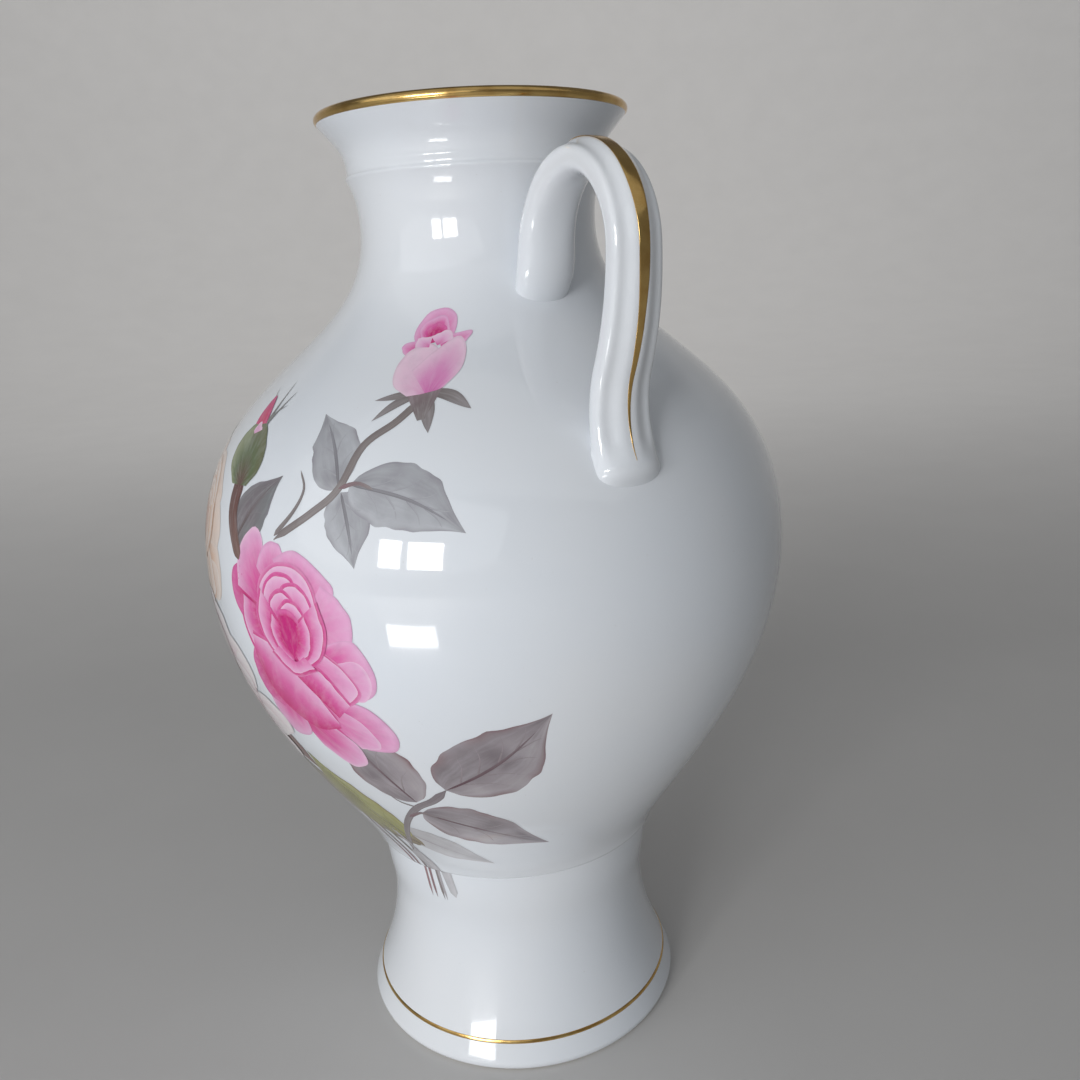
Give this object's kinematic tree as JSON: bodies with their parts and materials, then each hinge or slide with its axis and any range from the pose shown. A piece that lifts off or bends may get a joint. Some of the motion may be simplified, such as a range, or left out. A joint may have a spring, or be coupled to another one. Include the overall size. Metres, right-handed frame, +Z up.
{
  "type": "porcelain vase",
  "caption": "Baluster vase on a pedestal foot, with a flared mouth and looped strap handles at its sides; holds cut flowers or stands on display.",
  "frame": {"origin": "centre of the foot's resting face, on the table plane", "axes": "+Z up along the vase's axis of rotation; the two handles stand on +X and -X; -Y is the front, the side the roses face"},
  "size_m": [0.1868, 0.186, 0.3003],
  "materials": {
    "glazed_porcelain": "clear high-gloss glaze over a cool white body, with overglaze enamel roses, buds and grey leaves on the front",
    "fired_gold": "burnished fired gold, mirror bright"
  },
  "bodies": {
    "root": {"vase_foot": "glazed_porcelain", "vase_body": "glazed_porcelain", "vase_mouth": "glazed_porcelain", "handle_left": "glazed_porcelain", "handle_right": "glazed_porcelain", "rim_gilding": "fired_gold", "foot_gilding": "fired_gold", "handle_gilding_left": "fired_gold", "handle_gilding_right": "fired_gold"}
  },
  "joints": []
}
